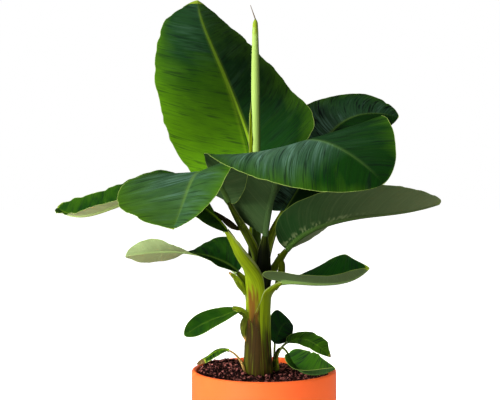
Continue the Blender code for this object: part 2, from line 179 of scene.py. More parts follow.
LEAVES = [
    Leaf("back", ring_foot(110), stalk=0.162, length=0.412, half_width=(0.128, 0.13),
         bearing=(107, 87, 162, 97), climb=(88, 68, 69, 49), roll=(-40, -40, -5),
         fold=((15, -10, 0), (25, 5, -15)), curl=((-15, -25, -20), (0, -20, -45)), peak=0.48,
         stalk_width=(0.0045, 0.0075, 0.0055), sheath=(8, 60, 0.03), wings=0.1,
         worn=((0, 0.93, -0.12, 0.07), (0, 0.97, 0.16, 0.015), (1, 0.59, -0.04, 0.05),
               (1, 0.47, 0.02, 0.06), (1, 0.78, 0.04, 0.03)), flare=0.009, slant=27,
         fresh_and_lit=(1.12, -0.4, -0.4, 0.25), painted_sheen=(-0.4, 0.25, 0.0, 0.13), rim=0.55, streaks=0.45,
         dry_tip=(0.02, 0.45), stalk_tone=(0.1, 1.0), painted_shade=(0.9, 0.6)),
    Leaf("front", ring_foot(290), stalk=0.112, length=0.426, half_width=(0.13, 0.126),
         bearing=(292, 294, 288, 333), climb=(88, 74, 14, -47), roll=(0, 0, 20),
         fold=((65, 15, 25), (45, -10, -30)), curl=((30, 0, 5), (20, -5, -20)), peak=0.42, lobe=-0.008,
         sheath=(6, 80, 0.03), wings=0.1, shift=0.003, slant=38,
         fresh_and_lit=(-0.1, -0.1, 0.0, -0.05), painted_sheen=(0.25, 0.0, 3.2, -0.6), rim=0.28, streaks=0.6,
         rib_shown=(0.9, 0.15), dry_tip=(0.003, 0.4), stalk_tone=(0.1, 0.15), painted_shade=(1.0, 0.9)),
    Leaf("front_left", ring_foot(200), stalk=0.174, length=0.314, half_width=(0.074, 0.116),
         bearing=(205, 233, 259, 262), climb=(88, 56, -21, -26), roll=(-10, 15, 5),
         fold=((-5, 15, 15), (0, 5, 15)), curl=((-30, -15, -10), (10, 5, 0)), peak=0.48,
         sheath=(5, 80, 0.04), wings=0.12, shift=0.022,
         worn=((1, 0.3, 0.12, 0.2), (1, 0.88, -0.14, 0.14), (1, 0.972, -0.38, 0.045)),
         fresh_and_lit=(0.16, 0.12, -0.35, 0.48), painted_sheen=(0.35, 0.25, 0.8, 0.15), rim=0.4, streaks=0.45,
         dry_tip=(0.006, 0.4), stalk_tone=(0.3, 0.25)),
    Leaf("back_right", ring_foot(65), stalk=0.162, length=0.322, half_width=(0.096, 0.104),
         bearing=(67, 41, 41, -7), climb=(88, 52, 46, -20), roll=(-5, 15, 30),
         fold=((20, 15, 10), (-20, 15, -10)), curl=((-10, -10, -10), (-10, 0, -15)), peak=0.48, lobe=0.035,
         stalk_width=(0.0045, 0.0075, 0.0055), sheath=(7, 70, 0.03), wings=0.1,
         worn=((0, 0.86, -0.22, 0.14), (0, 0.93, 0.1, 0.012), (1, 0.16, -0.3, 0.25)),
         fresh_and_lit=(-0.2, -0.05, -0.25, 0.0), painted_sheen=(0.65, 0.12, 0.0, 0.0), rim=0.3, streaks=0.9,
         rib_shown=(0.7, 0.7), dry_tip=(0.004, 0.3), stalk_tone=(0.5, 0.35), painted_shade=(0.9, 0.35)),
    Leaf("right", ring_foot(20), stalk=0.096, length=0.306, half_width=(0.074, 0.074),
         bearing=(20, -35, 23, 31), climb=(88, 46, 5, 13), roll=(-25, -25, -20),
         fold=((25, 25, 25), (25, 25, 15)), curl=((0, 0, 0), (-5, -10, -10)), peak=0.44, lobe=0.004,
         stalk_width=(0.0045, 0.0068, 0.0055), sheath=(4, 90, 0.05), wings=0.085, crinkle=1.5,
         fresh_and_lit=all_over(0.2), pale_and_lit_under=(0.35, 0.35, -0.07, 0.4), streaks=0.3, rib_shown=(0.8, 0.25),
         dry_tip=(0.07, 0.22), stalk_tone=(1.0, 0.5)),
    Leaf("left", ring_foot(245), stalk=0.134, length=0.386, half_width=(0.044, 0.076),
         bearing=(251, 193, 153, 122), climb=(74, 53, -18, 18), roll=(-15, -10, -20),
         fold=((-15, 25, 40), (-5, 25, 40)), curl=((-35, -25, -20), (-20, -5, 0)), peak=0.36,
         stalk_depth=(0.009, 0.019, 0.008), sheath=(2, 104, 0.06), wings=0.12, shift=0.003,
         wave=0.003, worn=((1, 0.42, -0.3, 0.25),),
         fresh_and_lit=(0.1, 0.1, 0.05, 0.1), pale_and_lit_under=all_over(1.0), streaks=0.5, blush=0.1,
         dry_tip=(0.02, 0.3), stalk_tone=(1.0, 0.9)),
    Leaf("low_right", ring_foot(340), stalk=0.05, length=0.166, half_width=(0.061, 0.053),
         bearing=(-19, -43, -22, -47), climb=(81, 15, 3, 43), roll=(0, 10, 30),
         fold=((15, 35, 65), (33, 40, 55)), curl=((-30, -10, 15), (-15, -20, -10)), peak=0.3, lobe=0.062,
         stalk_width=(0.0045, 0.0052, 0.0045), sheath=(0, 90, 0.03), wings=0.04, wave=0.001,
         fresh_and_lit=all_over(-0.1), pale_and_lit_under=(0.17, 0.15, 0.17, 0.15), streaks=0.7, rib_shown=(0.3, 0.3),
         dry_tip=(0.03, 0.45), stalk_tone=(1.0, 0.7)),
    Leaf("low_left", ring_foot(155), stalk=0.052, length=0.2, half_width=(0.036, 0.058),
         bearing=(155, 167, 174, 174), climb=(87, 44, 4, -11), roll=(-55, 10, 70),
         fold=((35, 5, 30), (35, 5, 25)), curl=((15, 0, 10), (10, 0, 10)), peak=0.4,
         stalk_width=(0.0042, 0.005, 0.0042), sheath=(3, 100, 0.05), wings=0.045, wave=0.003, crinkle=3,
         fresh_and_lit=all_over(0.0), pale_and_lit_under=(0.58, 0.46, 0.95, 0.8), streaks=0.8, rib_shown=(0.3, 0.5),
         stalk_tone=(0.8, 0.5)),
    Leaf("small_left", (-0.0312, -0.004, 0.313), stalk=0.008, length=0.103, half_width=(0.022, 0.022),
         bearing=(190, 193, 189, 201), climb=(35, 10, -19, -38), roll=(-25, -35, -55),
         fold=((20, 10, 0), (5, 10, 15)), curl=((5, 0, -5), (-5, 0, 5)), peak=0.48,
         stalk_width=(0.003, 0.0028, 0.0024), stalk_depth=(0.004, 0.0036, 0.003), wave=0.0005,
         fresh_and_lit=(0.15, 0.05, 0.15, 0.05), streaks=0.4, rib_shown=(0.3, 0.5), stalk_tone=(0.5, 0.5)),
    Leaf("pup_right", pup_foot(20), stalk=0.03, length=0.088, half_width=(0.021, 0.02),
         bearing=(17, 16, -38, 5), climb=(75, 30, -18, -48), roll=(30, 30, 30),
         fold=((5, 5, 5), (15, 10, 10)), curl=((-5, -5, -5), (0, 0, 0)), **PUP_STALK, sheath=(1, 90, 0.01),
         worn=((0, 0.5, 0.16, 0.1), (0, 0.76, -0.22, 0.12), (1, 0.62, 0.14, 0.12)),
         fresh_and_lit=(0.2, 0.4, 0.2, 0.4), pale_and_lit_under=all_over(0.0), streaks=0.9, rib_shown=(0.5, 0.5),
         dry_tip=(0.1, 1.0), stalk_tone=(0.5, 0.5)),
    Leaf("pup_front", pup_foot(290), stalk=0.053, length=0.105, half_width=(0.036, 0.018),
         bearing=(-63, -60, -41, -6), climb=(81, -37, -7, 33), roll=(20, 15, 5),
         fold=((45, 50, 55), (35, 45, 60)), curl=((-5, 0, 5), (-20, -10, -5)), peak=0.48, lobe=0.009,
         **PUP_STALK, sheath=(0, 90, 0.01), worn=((0, 0.4, 0.07, 0.08), (0, 0.7, -0.06, 0.1)),
         fresh_and_lit=(0.1, 0.15, 0.1, 0.15), pale_and_lit_under=all_over(-0.1), streaks=1.2, rib_shown=(0.4, 0.4),
         stalk_tone=(0.3, 0.3)),
    Leaf("pup_back", pup_foot(110), stalk=0.021, length=0.077, half_width=(0.029, 0.024),
         bearing=(99, 68, 60, 51), climb=(85, 65, 26, -37), roll=(55, 55, 45),
         fold=((15, 10, -5), (10, 5, 0)), curl=((5, 0, -10), (0, -5, -10)), peak=0.44,
         **PUP_STALK, sheath=(2, 90, 0.01),
         # streaks this strong darken nearly the whole blade
         fresh_and_lit=all_over(-0.1), pale_and_lit_under=all_over(-0.1), rim=0.0, streaks=2.5, rib_shown=(0.2, 0.3),
         stalk_tone=(0.3, 0.3)),
    Leaf("withered", (-0.0315, -0.017, SOIL_TOP + CLEARANCE), stalk=0.052, length=0.062,
         half_width=(0.009, 0.007), bearing=(139, 157, 187, 188), climb=(83, 16, -34, -29),
         roll=(-35, -35, -40),
         fold=((-20, -20, -20), (-25, -25, -20)), curl=((0, 0, 0), (-5, -5, 0)), peak=0.44,
         stalk_width=(0.0022, 0.0018, 0.0016), stalk_depth=(0.004, 0.0034, 0.0028), wave=0.003,
         fresh_and_lit=(0.35, 0.05, 0.35, 0.05), streaks=1.6, dry_tip=(0.35, 1.0), stalk_tone=(1.0, 1.0),
         withered=0.75),
]

# ---- Colours, as linear light ----
# FRESH_GREEN and DEEP_GREEN are mixed by a share that also paints light and shade
FRESH_GREEN = (0.095, 0.250, 0.003)
DEEP_GREEN = (0.005, 0.036, 0.003)
# painted sheen: the bluish grey that reflected light lays over the upper side
PAINTED_SHEEN_GREEN = (0.150, 0.290, 0.215)
STREAK_DARK = (0.004, 0.011, 0.007)
VEIN_GREEN = (0.045, 0.110, 0.006)
RIB_PALE = (0.300, 0.500, 0.018)
RIB_DULL = (0.065, 0.145, 0.045)
YELLOWED = (0.290, 0.400, 0.025)
MARGIN_GREEN = (0.300, 0.420, 0.090)
# pale underside colour, also the painted lit end of the underside's shading
UNDER_PALE = (0.520, 0.620, 0.270)
UNDER_DEEP = (0.024, 0.078, 0.018)
MAROON = (0.035, 0.012, 0.012)
DRY_BROWN = (0.150, 0.090, 0.030)
WITHERED_TAN = (0.480, 0.250, 0.085)
STALK_YELLOW = (0.210, 0.290, 0.004)
STALK_OLIVE = (0.018, 0.032, 0.003)
# thin pale line on sheath margins, partly their own colour and partly a painted highlight
PALE_EDGE_AND_HIGHLIGHT = (0.300, 0.340, 0.120)
SHEATH_BROWN = (0.040, 0.022, 0.005)
SHEATH_ORANGE = (0.140, 0.056, 0.007)
# near black, for dark fibres and margins and for painted shade
DARK_MARKS_AND_SHADE = (0.005, 0.006, 0.003)
YOUNG_PALE = (0.400, 0.580, 0.130)
YOUNG_SHADE = (0.070, 0.140, 0.010)
CLAY_ORANGE = (0.950, 0.145, 0.032)
CLAY_DARK = (0.930, 0.110, 0.018)
SOIL_DARK = (0.013, 0.005, 0.005)
SOIL_CRUMB = (0.420, 0.140, 0.115)
FLOOR_PALE = (0.90, 0.90, 0.89)


# ---- Curves and noise ----
def ease(stations, values, at):
    """A smooth curve through the values: cubic pieces whose slopes come from the neighbours."""
    knots = np.asarray(stations, float)
    v = np.asarray(values, float)
    step = np.diff(knots)
    rise = np.diff(v) / step
    slope = np.empty_like(v)
    slope[0] = rise[0]
    slope[-1] = rise[-1]
    slope[1:-1] = (rise[:-1] * step[1:] + rise[1:] * step[:-1]) / (step[:-1] + step[1:])
    i = np.clip(np.searchsorted(knots, at, side="right") - 1, 0, len(step) - 1)
    x = (at - knots[i]) / step[i]
    start = (1 + 2 * x) * (1 - x) ** 2 * v[i] + x * (1 - x) ** 2 * step[i] * slope[i]
    end = x * x * (3 - 2 * x) * v[i + 1] + x * x * (x - 1) * step[i] * slope[i + 1]
    return start + end


def smooth(low, high, x):
    """0 below low, 1 above high, and a smooth step between them."""
    t = np.clip((np.asarray(x, float) - low) / (high - low), 0, 1)
    return t * t * (3 - 2 * t)


def wander(seed, x, y=0.0):
    """Smooth noise from -1 to 1 over a plane with one random value at each whole number."""
    table = np.random.default_rng(seed).uniform(-1, 1, (256, 256))
    x, y = np.broadcast_arrays(np.asarray(x, float), np.asarray(y, float))
    i, j = np.floor(x).astype(int), np.floor(y).astype(int)
    a, b = smooth(0, 1, x - i), smooth(0, 1, y - j)
    i0, i1, j0, j1 = i % 256, (i + 1) % 256, j % 256, (j + 1) % 256
    low = table[i0, j0] * (1 - a) + table[i1, j0] * a
    high = table[i0, j1] * (1 - a) + table[i1, j1] * a
    return low * (1 - b) + high * b


def rows_of(x, y, z):
    """Three numbers for each point. Any of them may be the same for a whole row or for all."""
    return np.stack(np.broadcast_arrays(x, y, z), -1)


def round_angles(count):
    return np.linspace(0, 2 * np.pi, count + 1)[:-1]


def unit(v):
    return v / np.maximum(np.linalg.norm(v, axis=-1, keepdims=True), 1e-12)


# ---- Meshes ----
def add_object(name, data):
    obj = bpy.data.objects.new(name, data)
    bpy.context.scene.collection.objects.link(obj)
    return obj


def add_mesh(name, points, faces, materials, face_material=None, attributes=None, sharp=None):
    """A smooth-shaded mesh object, with point attributes given as three numbers for each point."""
    points = np.asarray(points, np.float32).reshape(-1, 3)
    mesh = bpy.data.meshes.new(name)
    loops = np.concatenate([f.ravel() for f in faces])
    sizes = np.concatenate([np.full(len(f), f.shape[1]) for f in faces])
    mesh.vertices.add(len(points))
    mesh.vertices.foreach_set("co", points.ravel())
    mesh.loops.add(len(loops))
    mesh.loops.foreach_set("vertex_index", loops.astype(np.int32))
    mesh.polygons.add(len(sizes))
    mesh.polygons.foreach_set("loop_start", np.concatenate([[0], np.cumsum(sizes)[:-1]]).astype(np.int32))
    if face_material is not None:
        mesh.polygons.foreach_set("material_index", face_material.astype(np.int32))
    mesh.update(calc_edges=True)
    mesh.validate()
    for key, rows in (attributes or {}).items():
        layer = mesh.attributes.new(key, "FLOAT_VECTOR", "POINT")
        layer.data.foreach_set("vector", np.asarray(rows, np.float32).ravel())
    for material in materials:
        mesh.materials.append(material)
    mesh.shade_smooth()
    if sharp:
        mesh.set_sharp_from_angle(angle=math.radians(sharp))
    return add_object(name, mesh)


def strip_faces(rows, columns, closed=False):
    """Quads of a grid of points kept row by row, which may close round from the last column."""
    last = columns if closed else columns - 1
    i, k = np.meshgrid(np.arange(rows - 1), np.arange(last), indexing="ij")
    a = i * columns + k
    b = i * columns + (k + 1) % columns
    return np.stack([a, b, b + columns, a + columns], -1).reshape(-1, 4)


def turned_faces(rows, columns):
    """Faces of a closed body of rings that follow one another, with a flat face at each end."""
    ring = np.arange(columns)[None]
    return [strip_faces(rows, columns, closed=True), ring[:, ::-1], (rows - 1) * columns + ring]


# ---- Materials ----
class Paint:
    """A material's nodes, added one step at a time. Every step returns an output socket."""

    def __init__(self, name, roughness, specular):
        self.material = bpy.data.materials.new(name)
        self.material.use_nodes = True
        self.tree = self.material.node_tree
        self.shader = self.tree.nodes["Principled BSDF"]
        self.shader.inputs["Roughness"].default_value = roughness
        self.shader.inputs["Specular IOR Level"].default_value = specular

    def put(self, socket, value):
        if isinstance(value, bpy.types.NodeSocket):
            self.tree.links.new(value, socket)
        elif isinstance(value, tuple) and socket.type == "RGBA":
            socket.default_value = (*value, 1)
        else:
            socket.default_value = value

    def node(self, kind, **inputs):
        made = self.tree.nodes.new(kind)
        for key, value in inputs.items():
            self.put(made.inputs[key], value)
        return made

    def attribute(self, name):
        """The three numbers that the mesh keeps under this name."""
        made = self.tree.nodes.new("ShaderNodeAttribute")
        made.attribute_name = name
        split = self.node("ShaderNodeSeparateXYZ", Vector=made.outputs["Vector"])
        return split.outputs["X"], split.outputs["Y"], split.outputs["Z"]

    def math(self, operation, a, b):
        made = self.tree.nodes.new("ShaderNodeMath")
        made.operation = operation
        self.put(made.inputs[0], a)
        self.put(made.inputs[1], b)
        return made.outputs[0]

    def times(self, a, b):
        return self.math("MULTIPLY", a, b)

    def plus(self, a, b):
        return self.math("ADD", a, b)

    def noise(self, vector, scale=1.0, detail=2.0, roughness=0.5):
        made = self.node("ShaderNodeTexNoise", Scale=scale, Detail=detail, Roughness=roughness)
        self.put(made.inputs["Vector"], vector)
        return made.outputs["Fac"]

    def fibre(self, vein, along_scale, across_scale, detail=2.0):
        """Noise drawn out along the veins or fibres, from the two places and the seed kept with them."""
        along, across, seed = vein
        scaled = self.node("ShaderNodeCombineXYZ", X=self.times(along, along_scale),
                           Y=self.times(across, across_scale), Z=seed)
        return self.noise(scaled.outputs[0], detail=detail)

    def place(self):
        return self.tree.nodes.new("ShaderNodeTexCoord").outputs["Object"]

    def range(self, value, low, high, new_low=0.0, new_high=1.0):
        made = self.tree.nodes.new("ShaderNodeMapRange")
        made.interpolation_type = "SMOOTHSTEP"
        for key, v in (("Value", value), ("From Min", low), ("From Max", high),
                       ("To Min", new_low), ("To Max", new_high)):
            self.put(made.inputs[key], v)
        return made.outputs[0]

    def mix(self, share, a, b):
        made = self.tree.nodes.new("ShaderNodeMix")
        made.data_type = "RGBA"
        self.put(made.inputs["Factor"], share)
        colours = [s for s in made.inputs if s.type == "RGBA"]
        self.put(colours[0], a)
        self.put(colours[1], b)
        return [s for s in made.outputs if s.type == "RGBA"][0]

    def bump(self, height, strength, distance):
        made = self.node("ShaderNodeBump", Height=height, Strength=strength, Distance=distance)
        self.tree.links.new(made.outputs[0], self.shader.inputs["Normal"])

    def finish(self, colour, roughness=None):
        self.put(self.shader.inputs["Base Color"], colour)
        if roughness is not None:
            self.put(self.shader.inputs["Roughness"], roughness)
        return self.material


def leaf_paint(name, upper):
    """A blade's upper side or underside: green between fine veins, with a light rib and margin."""
    p = Paint(name, roughness=0.48 if upper else 0.6, specular=0.08 if upper else 0.05)
    vein = p.attribute("vein")
    fresh_and_lit, streaks, dry = p.attribute("tone")
    rib, edge, blush = p.attribute("part")
    yellow, pale, painted_sheen = p.attribute("rib_tone")
    cloud = p.range(p.fibre(vein, 36, 24), 0.3, 0.7, -0.08, 0.08)
    broad = p.range(p.fibre(vein, 110, 18), 0.45, 0.62)
    fine = p.range(p.fibre(vein, 420, 30), 0.44, 0.62)
    streak = p.times(p.times(p.plus(broad, 0.3), fine), streaks)
    line = p.range(p.fibre(vein, 420, 9, 1.0), 0.45, 0.75)
    if upper:
        # bright green share: the leaf's freshness together with painted light and shade
        green = p.mix(p.plus(fresh_and_lit, cloud), DEEP_GREEN, FRESH_GREEN)
        # painted sheen, in streaky strokes along the veins
        wide_stroke = p.range(p.fibre(vein, 30, 14), 0.4, 0.65)
        thin_stroke = p.range(p.fibre(vein, 300, 18), 0.38, 0.66)
        sheen_strokes = p.plus(p.times(wide_stroke, thin_stroke), 0.35)
        green = p.mix(p.times(sheen_strokes, painted_sheen), green, PAINTED_SHEEN_GREEN)
        green = p.mix(streak, green, STREAK_DARK)
        green = p.mix(p.times(line, 0.09), green, VEIN_GREEN)
    else:
        # pale share of the underside: its own pale bloom together with painted light
        green = p.mix(p.plus(pale, p.times(cloud, 0.15)), UNDER_DEEP, UNDER_PALE)
        green = p.mix(p.times(line, 0.05), green, UNDER_PALE)
        patches = p.range(p.fibre(vein, 40, 14), 0.42, 0.62)
        green = p.mix(p.times(patches, blush), green, MAROON)
    green = p.mix(rib, green, p.mix(yellow, RIB_DULL, RIB_PALE))
    green = p.mix(p.range(edge, 0.4, 1.0, 0.9, 0.0), green, MARGIN_GREEN)
    green = dried(p, green, dry)
    p.bump(p.plus(line, p.times(streak, 0.5)), 0.35, 0.0004)
    return p.finish(green)


def dried(p, colour, dry):
    """A leaf's colour turns yellow and then brown as it dries."""
    colour = p.mix(p.range(dry, 0.0, 0.5), colour, YELLOWED)
    return p.mix(p.range(dry, 0.5, 1.0), colour, DRY_BROWN)


def stalk_paint():
    """Leaf stalks and sheaths: fleshy, streaked lengthwise, with thin margins that are brown or pale, the
    pale line partly a painted highlight, and with painted shade on inner faces and low in the crowded middle.
    """
    p = Paint("stalk", roughness=0.45, specular=0.08)
    vein = p.attribute("vein")
    yellow, brown, dry = p.attribute("tone")
    inner, edge, orange = p.attribute("part")

    def fibre(along_scale, across_scale):
        return p.fibre(vein, along_scale, across_scale, 3.0)

    fine = p.range(fibre(7, 420), 0.38, 0.62, -0.14, 0.14)
    broad = p.range(fibre(9, 130), 0.35, 0.65, -0.18, 0.18)
    green = p.mix(p.plus(yellow, p.plus(fine, broad)), STALK_OLIVE, STALK_YELLOW)
    green = p.mix(p.range(p.plus(fibre(11, 330), brown), 0.78, 1.02), green, SHEATH_BROWN)
    green = p.mix(p.range(p.plus(fibre(16, 200), orange), 0.64, 1.10), green, SHEATH_ORANGE)
    dark = p.range(fibre(8, 480), 0.50, 0.68, 0.0, 0.75)
    green = p.mix(p.times(dark, p.range(yellow, 0.2, 0.9, 1.0, 0.35)), green, DARK_MARKS_AND_SHADE)
    # painted shade: inner faces, and stalks low among the crowded leaves, turn near black
    green = p.mix(p.times(inner, 0.85), green, DARK_MARKS_AND_SHADE)
    # margins: a pale line that is partly a painted highlight, or dark where brown
    margin = p.mix(p.range(brown, 0.25, 0.45), PALE_EDGE_AND_HIGHLIGHT, DARK_MARKS_AND_SHADE)
    green = p.mix(p.range(edge, 0.4, 1.0, 0.65, 0.0), green, margin)
    green = p.mix(dry, green, WITHERED_TAN)
    p.bump(fibre(9, 600), 0.3, 0.0005)
    return p.finish(green)


def young_paint():
    """The rolled new leaf: pale and waxy, with the veins of its hidden blade as slanting lines."""
    p = Paint("young_leaf", roughness=0.45, specular=0.2)
    vein = p.attribute("vein")
    pale, _, dry = p.attribute("tone")
    line = p.range(p.fibre(vein, 30, 9), 0.4, 0.7)
    # the pale share also carries painted shade on the roll's right side
    colour = p.mix(p.plus(pale, p.times(line, 0.2)), YOUNG_SHADE, YOUNG_PALE)
    colour = dried(p, colour, dry)
    p.bump(line, 0.3, 0.0004)
    return p.finish(colour)


def clay_paint():
    """Orange glaze, matt and a little uneven."""
    p = Paint("pot_clay", roughness=0.5, specular=0.15)
    cloud = p.noise(p.place(), scale=14, detail=4)
    fine = p.noise(p.place(), scale=900, detail=2)
    colour = p.mix(p.range(cloud, 0.35, 0.7, 0.0, 0.35), CLAY_ORANGE, CLAY_DARK)
    p.bump(fine, 0.15, 0.0003)
    return p.finish(colour, p.range(cloud, 0.3, 0.7, 0.42, 0.55))


def soil_paint():
    """Peaty soil: nearly black, with reddish and grey crumbs."""
    p = Paint("soil", roughness=0.95, specular=0.2)
    crumb = p.noise(p.place(), scale=190, detail=4, roughness=0.7)
    patch = p.noise(p.place(), scale=60, detail=3)
    colour = p.mix(p.range(crumb, 0.53, 0.60), SOIL_DARK, SOIL_CRUMB)
    colour = p.mix(p.range(patch, 0.6, 0.8, 0.0, 0.5), colour, SOIL_DARK)
    p.bump(crumb, 0.8, 0.002)
    return p.finish(colour)


UPPER = leaf_paint("leaf_upper", True)
UNDER = leaf_paint("leaf_under", False)
STALK = stalk_paint()
YOUNG = young_paint()
CLAY = clay_paint()
SOIL = soil_paint()


# ---- Leaves ----
def midrib(leaf, arc):
    """Centre, forward, left and up vectors at each arc length. Below the foot it runs straight down."""
    base = leaf.stalk
    end = leaf.stalk + leaf.length
    knots = (0.0, base, base + leaf.length / 2, end)
    fine = np.linspace(0.0, end, WALK_STEPS)

    def directions(at):
        a = np.radians(ease(knots, leaf.bearing, at))
        e = np.radians(ease(knots, leaf.climb, at))
        forward = np.stack([np.cos(e) * np.cos(a), np.cos(e) * np.sin(a), np.sin(e)], 1)
        up = np.stack([-np.sin(e) * np.cos(a), -np.sin(e) * np.sin(a), np.cos(e)], 1)
        return forward, up

    path = directions(fine)[0]
    walk = np.cumsum((path[1:] + path[:-1]) / 2 * fine[1], 0)
    centre = np.vstack([np.zeros(3), walk]) + np.array(leaf.foot)
    centre = np.stack([np.interp(arc, fine, centre[:, k]) for k in range(3)], 1)
    centre[:, 2] += np.minimum(arc, 0)
    forward, up = directions(np.maximum(arc, 0))
    left = np.cross(up, forward)
    share = np.clip(arc / base, 0, 1)
    on_stalk = leaf.roll[0] * share * share * (3 - 2 * share)
    on_blade = ease(knots[1:], leaf.roll, np.maximum(arc, base))
    roll = np.radians(np.where(arc < base, on_stalk, on_blade))[:, None]
    return (centre, forward, np.cos(roll) * left + np.sin(roll) * up,
            np.cos(roll) * up - np.sin(roll) * left)


def outline(share, peak):
    """Half width of a blade, as a share of its widest, along its length."""
    def rounded(away, powers):
        return np.clip(1 - np.abs(away) ** powers[0], 0, 1) ** powers[1]

    before = rounded((peak - share) / peak, BASE_POWERS)
    after = rounded((share - peak) / (1 - peak), TIP_POWERS)
    return np.where(share < peak, before, after)


def rib_half(leaf, share, width):
    """Half width of the midrib."""
    rib = leaf.stalk_width[2] * (1 - RIB_TAPER * share) + leaf.flare * np.exp(-share / RIB_FLARE_FADE)
    return np.minimum(rib, width * 0.6)


def half_blade(leaf, side, share, across, seed):
    """Distances from the midrib, their shares of the width, offsets and heights of one half."""
    shape = outline(share, leaf.peak)
    ripple = 1
    for number, (height, pitch) in enumerate(MARGIN_RIPPLES):
        ripple = ripple + height * wander(seed + 5 * number, share * leaf.length / pitch)
    width = leaf.half_width[side] * shape * ripple
    for which, place, depth, reach in leaf.worn:
        if which == side:
            width = width * (1 - depth * np.clip(1 - np.abs(share - place) / reach, 0, 1))
    width = np.maximum(width, LEAST_WIDTH)
    rib = rib_half(leaf, share, width)
    rib_steps = np.linspace(0, 1, RIB_POINTS)
    blade_steps = np.arange(1, across + 1) / across
    x = np.hstack([rib[:, None] * rib_steps, rib[:, None] + (width - rib)[:, None] * blade_steps])
    part = x / width[:, None]
    middle = (part[:, 1:] + part[:, :-1]) / 2
    fold, curl = (np.radians(ease((0, 0.5, 1), angles[side], share))[:, None]
                  for angles in (leaf.fold, leaf.curl))
    lean = fold + curl * middle
    run, rise = (np.hstack([np.zeros((len(share), 1)), np.cumsum(component(lean) * np.diff(x), 1)])
                 for component in (np.cos, np.sin))
    reach = np.clip((part - LOBE_START) / (1 - LOBE_START), 0, 1) ** LOBE_POWER
    sweep = leaf.lobe * reach * (shape * np.exp(-share / LOBE_FADE))[:, None]
    return x, part, run, rise, sweep, width


def relief(leaf, seed, share, x, part, rib, vein):
    """Heights that pleats, dents, waves and the midrib's groove add to a blade's upper side."""
    away = np.abs(x)
    in_rib = np.clip(away / rib, 0, 1)
    depth = leaf.stalk_depth[2]
    lift = STALK_GROOVE * depth * (1 - smooth(0, 0.12, share)) * in_rib ** 2
    groove = RIB_GROOVE * depth * (1 - smooth(0.1, 0.75, share)) * np.cos(in_rib * np.pi / 2) ** 2
    pleat = PLEAT_HEIGHT * min(1.0, leaf.length / FULL_PLEAT_BLADE)
    pleat = pleat * wander(seed + 7, vein / PLEAT_PITCH * 2, away / PLEAT_LENGTH)
    pleat = pleat * smooth(1.2, 2.5, away / rib)
    dents = wander(seed + 8, vein / DENT_SIZE[0], away / DENT_SIZE[1])
    dents = dents * smooth(1.0, 2.0, away / rib) * smooth(1.0, 0.3, share)
    pleat = pleat + leaf.crinkle * PLEAT_HEIGHT * dents
    wave = leaf.wave * part ** 2.5 * wander(seed + 9, vein / WAVE_PITCH * 2, np.sign(x) * 3.5)
    return lift - groove + pleat + wave


def sheet_faces(rows, columns):
    """Faces of a closed sheet, whose upper side's points come first, and each face's material."""
    count = rows * columns
    side = strip_faces(rows, columns)
    rim = np.concatenate([np.arange(columns), np.arange(1, rows) * columns + columns - 1,
                          (rows - 1) * columns + np.arange(columns - 2, -1, -1),
                          np.arange(rows - 2, 0, -1) * columns])
    turned_rim = np.roll(rim, -1)
    edge = np.stack([rim, turned_rim, turned_rim + count, rim + count], 1)
    material = np.concatenate([np.zeros(len(side)), np.ones(len(side)), np.zeros(len(edge))])
    return [side[:, ::-1], side + count, edge], material


def blade_attributes(leaf, seed, share, x, part, width, rib, vein):
    """Numbers for the blade's paints, first for its upper side and then for its underside."""
    away = np.abs(x)

    def by_half(left_base, left_tip, right_base, right_tip):
        return np.where(x > 0, left_base + (left_tip - left_base) * share,
                        right_base + (right_tip - right_base) * share)

    edge = np.minimum((1 - part) * width, (1 - share) * leaf.length * 0.7) * 1000
    # the bright green share is the leaf's freshness and, set per half, painted light and shade
    fresh_and_lit = by_half(*leaf.fresh_and_lit) + leaf.rim * part ** 3
    dry_length, dry_most = leaf.dry_tip
    ragged = share + 0.5 * dry_length * wander(seed + 3, vein / 0.006)
    dry = dry_most * smooth(1 - dry_length, 1 - dry_length / 3, ragged)
    # painted sheen, fading out towards the margin
    painted_sheen = by_half(*leaf.painted_sheen) * (1 - 0.95 * part ** 2)
    # the underside's own paleness, raised as painted light on halves that face the lamp
    pale = by_half(*leaf.pale_and_lit_under)
    yellow = leaf.stalk_tone[1]
    # painted shade in the midrib's groove near the base, and on the rib's left half (0.7 below), where its
    # wall is shaded
    groove_shade = smooth(0.6, 0.3, share) * smooth(-0.30, -0.1, x / rib) * smooth(0.95, 0.75, x / rib)
    rib_light = (1 - smooth(0.75, 1.15, away / rib)) * (1 - 0.8 * share) * smooth(1.0, 0.90, share)
    upper_rib = leaf.rib_shown[0] * rib_light * (1 - groove_shade) * np.where(x > 0, 0.7, 1.0)
    under_rib = leaf.rib_shown[1] * rib_light
    # painted highlights: pale flecks on the crinkled underside beside the rib
    painted_glints = smooth(0.0, 0.6, wander(seed + 8, vein / 0.0028, away / 0.0045)) * smooth(0.55, 0.35, share)
    painted_glints = 0.3 * leaf.crinkle * painted_glints * smooth(0.9, 1.1, away / rib) * smooth(3.5, 1.5, away / rib)
    return {
        "vein": np.stack([rows_of(vein, x, seed)] * 2),
        "tone": np.stack([rows_of(fresh_and_lit, leaf.streaks, dry)] * 2),
        "part": np.stack([rows_of(light, edge, leaf.blush) for light in (upper_rib, under_rib)]),
        "rib_tone": np.stack([rows_of(yellow, under, painted_sheen) for under in (pale, pale + painted_glints)]),
    }


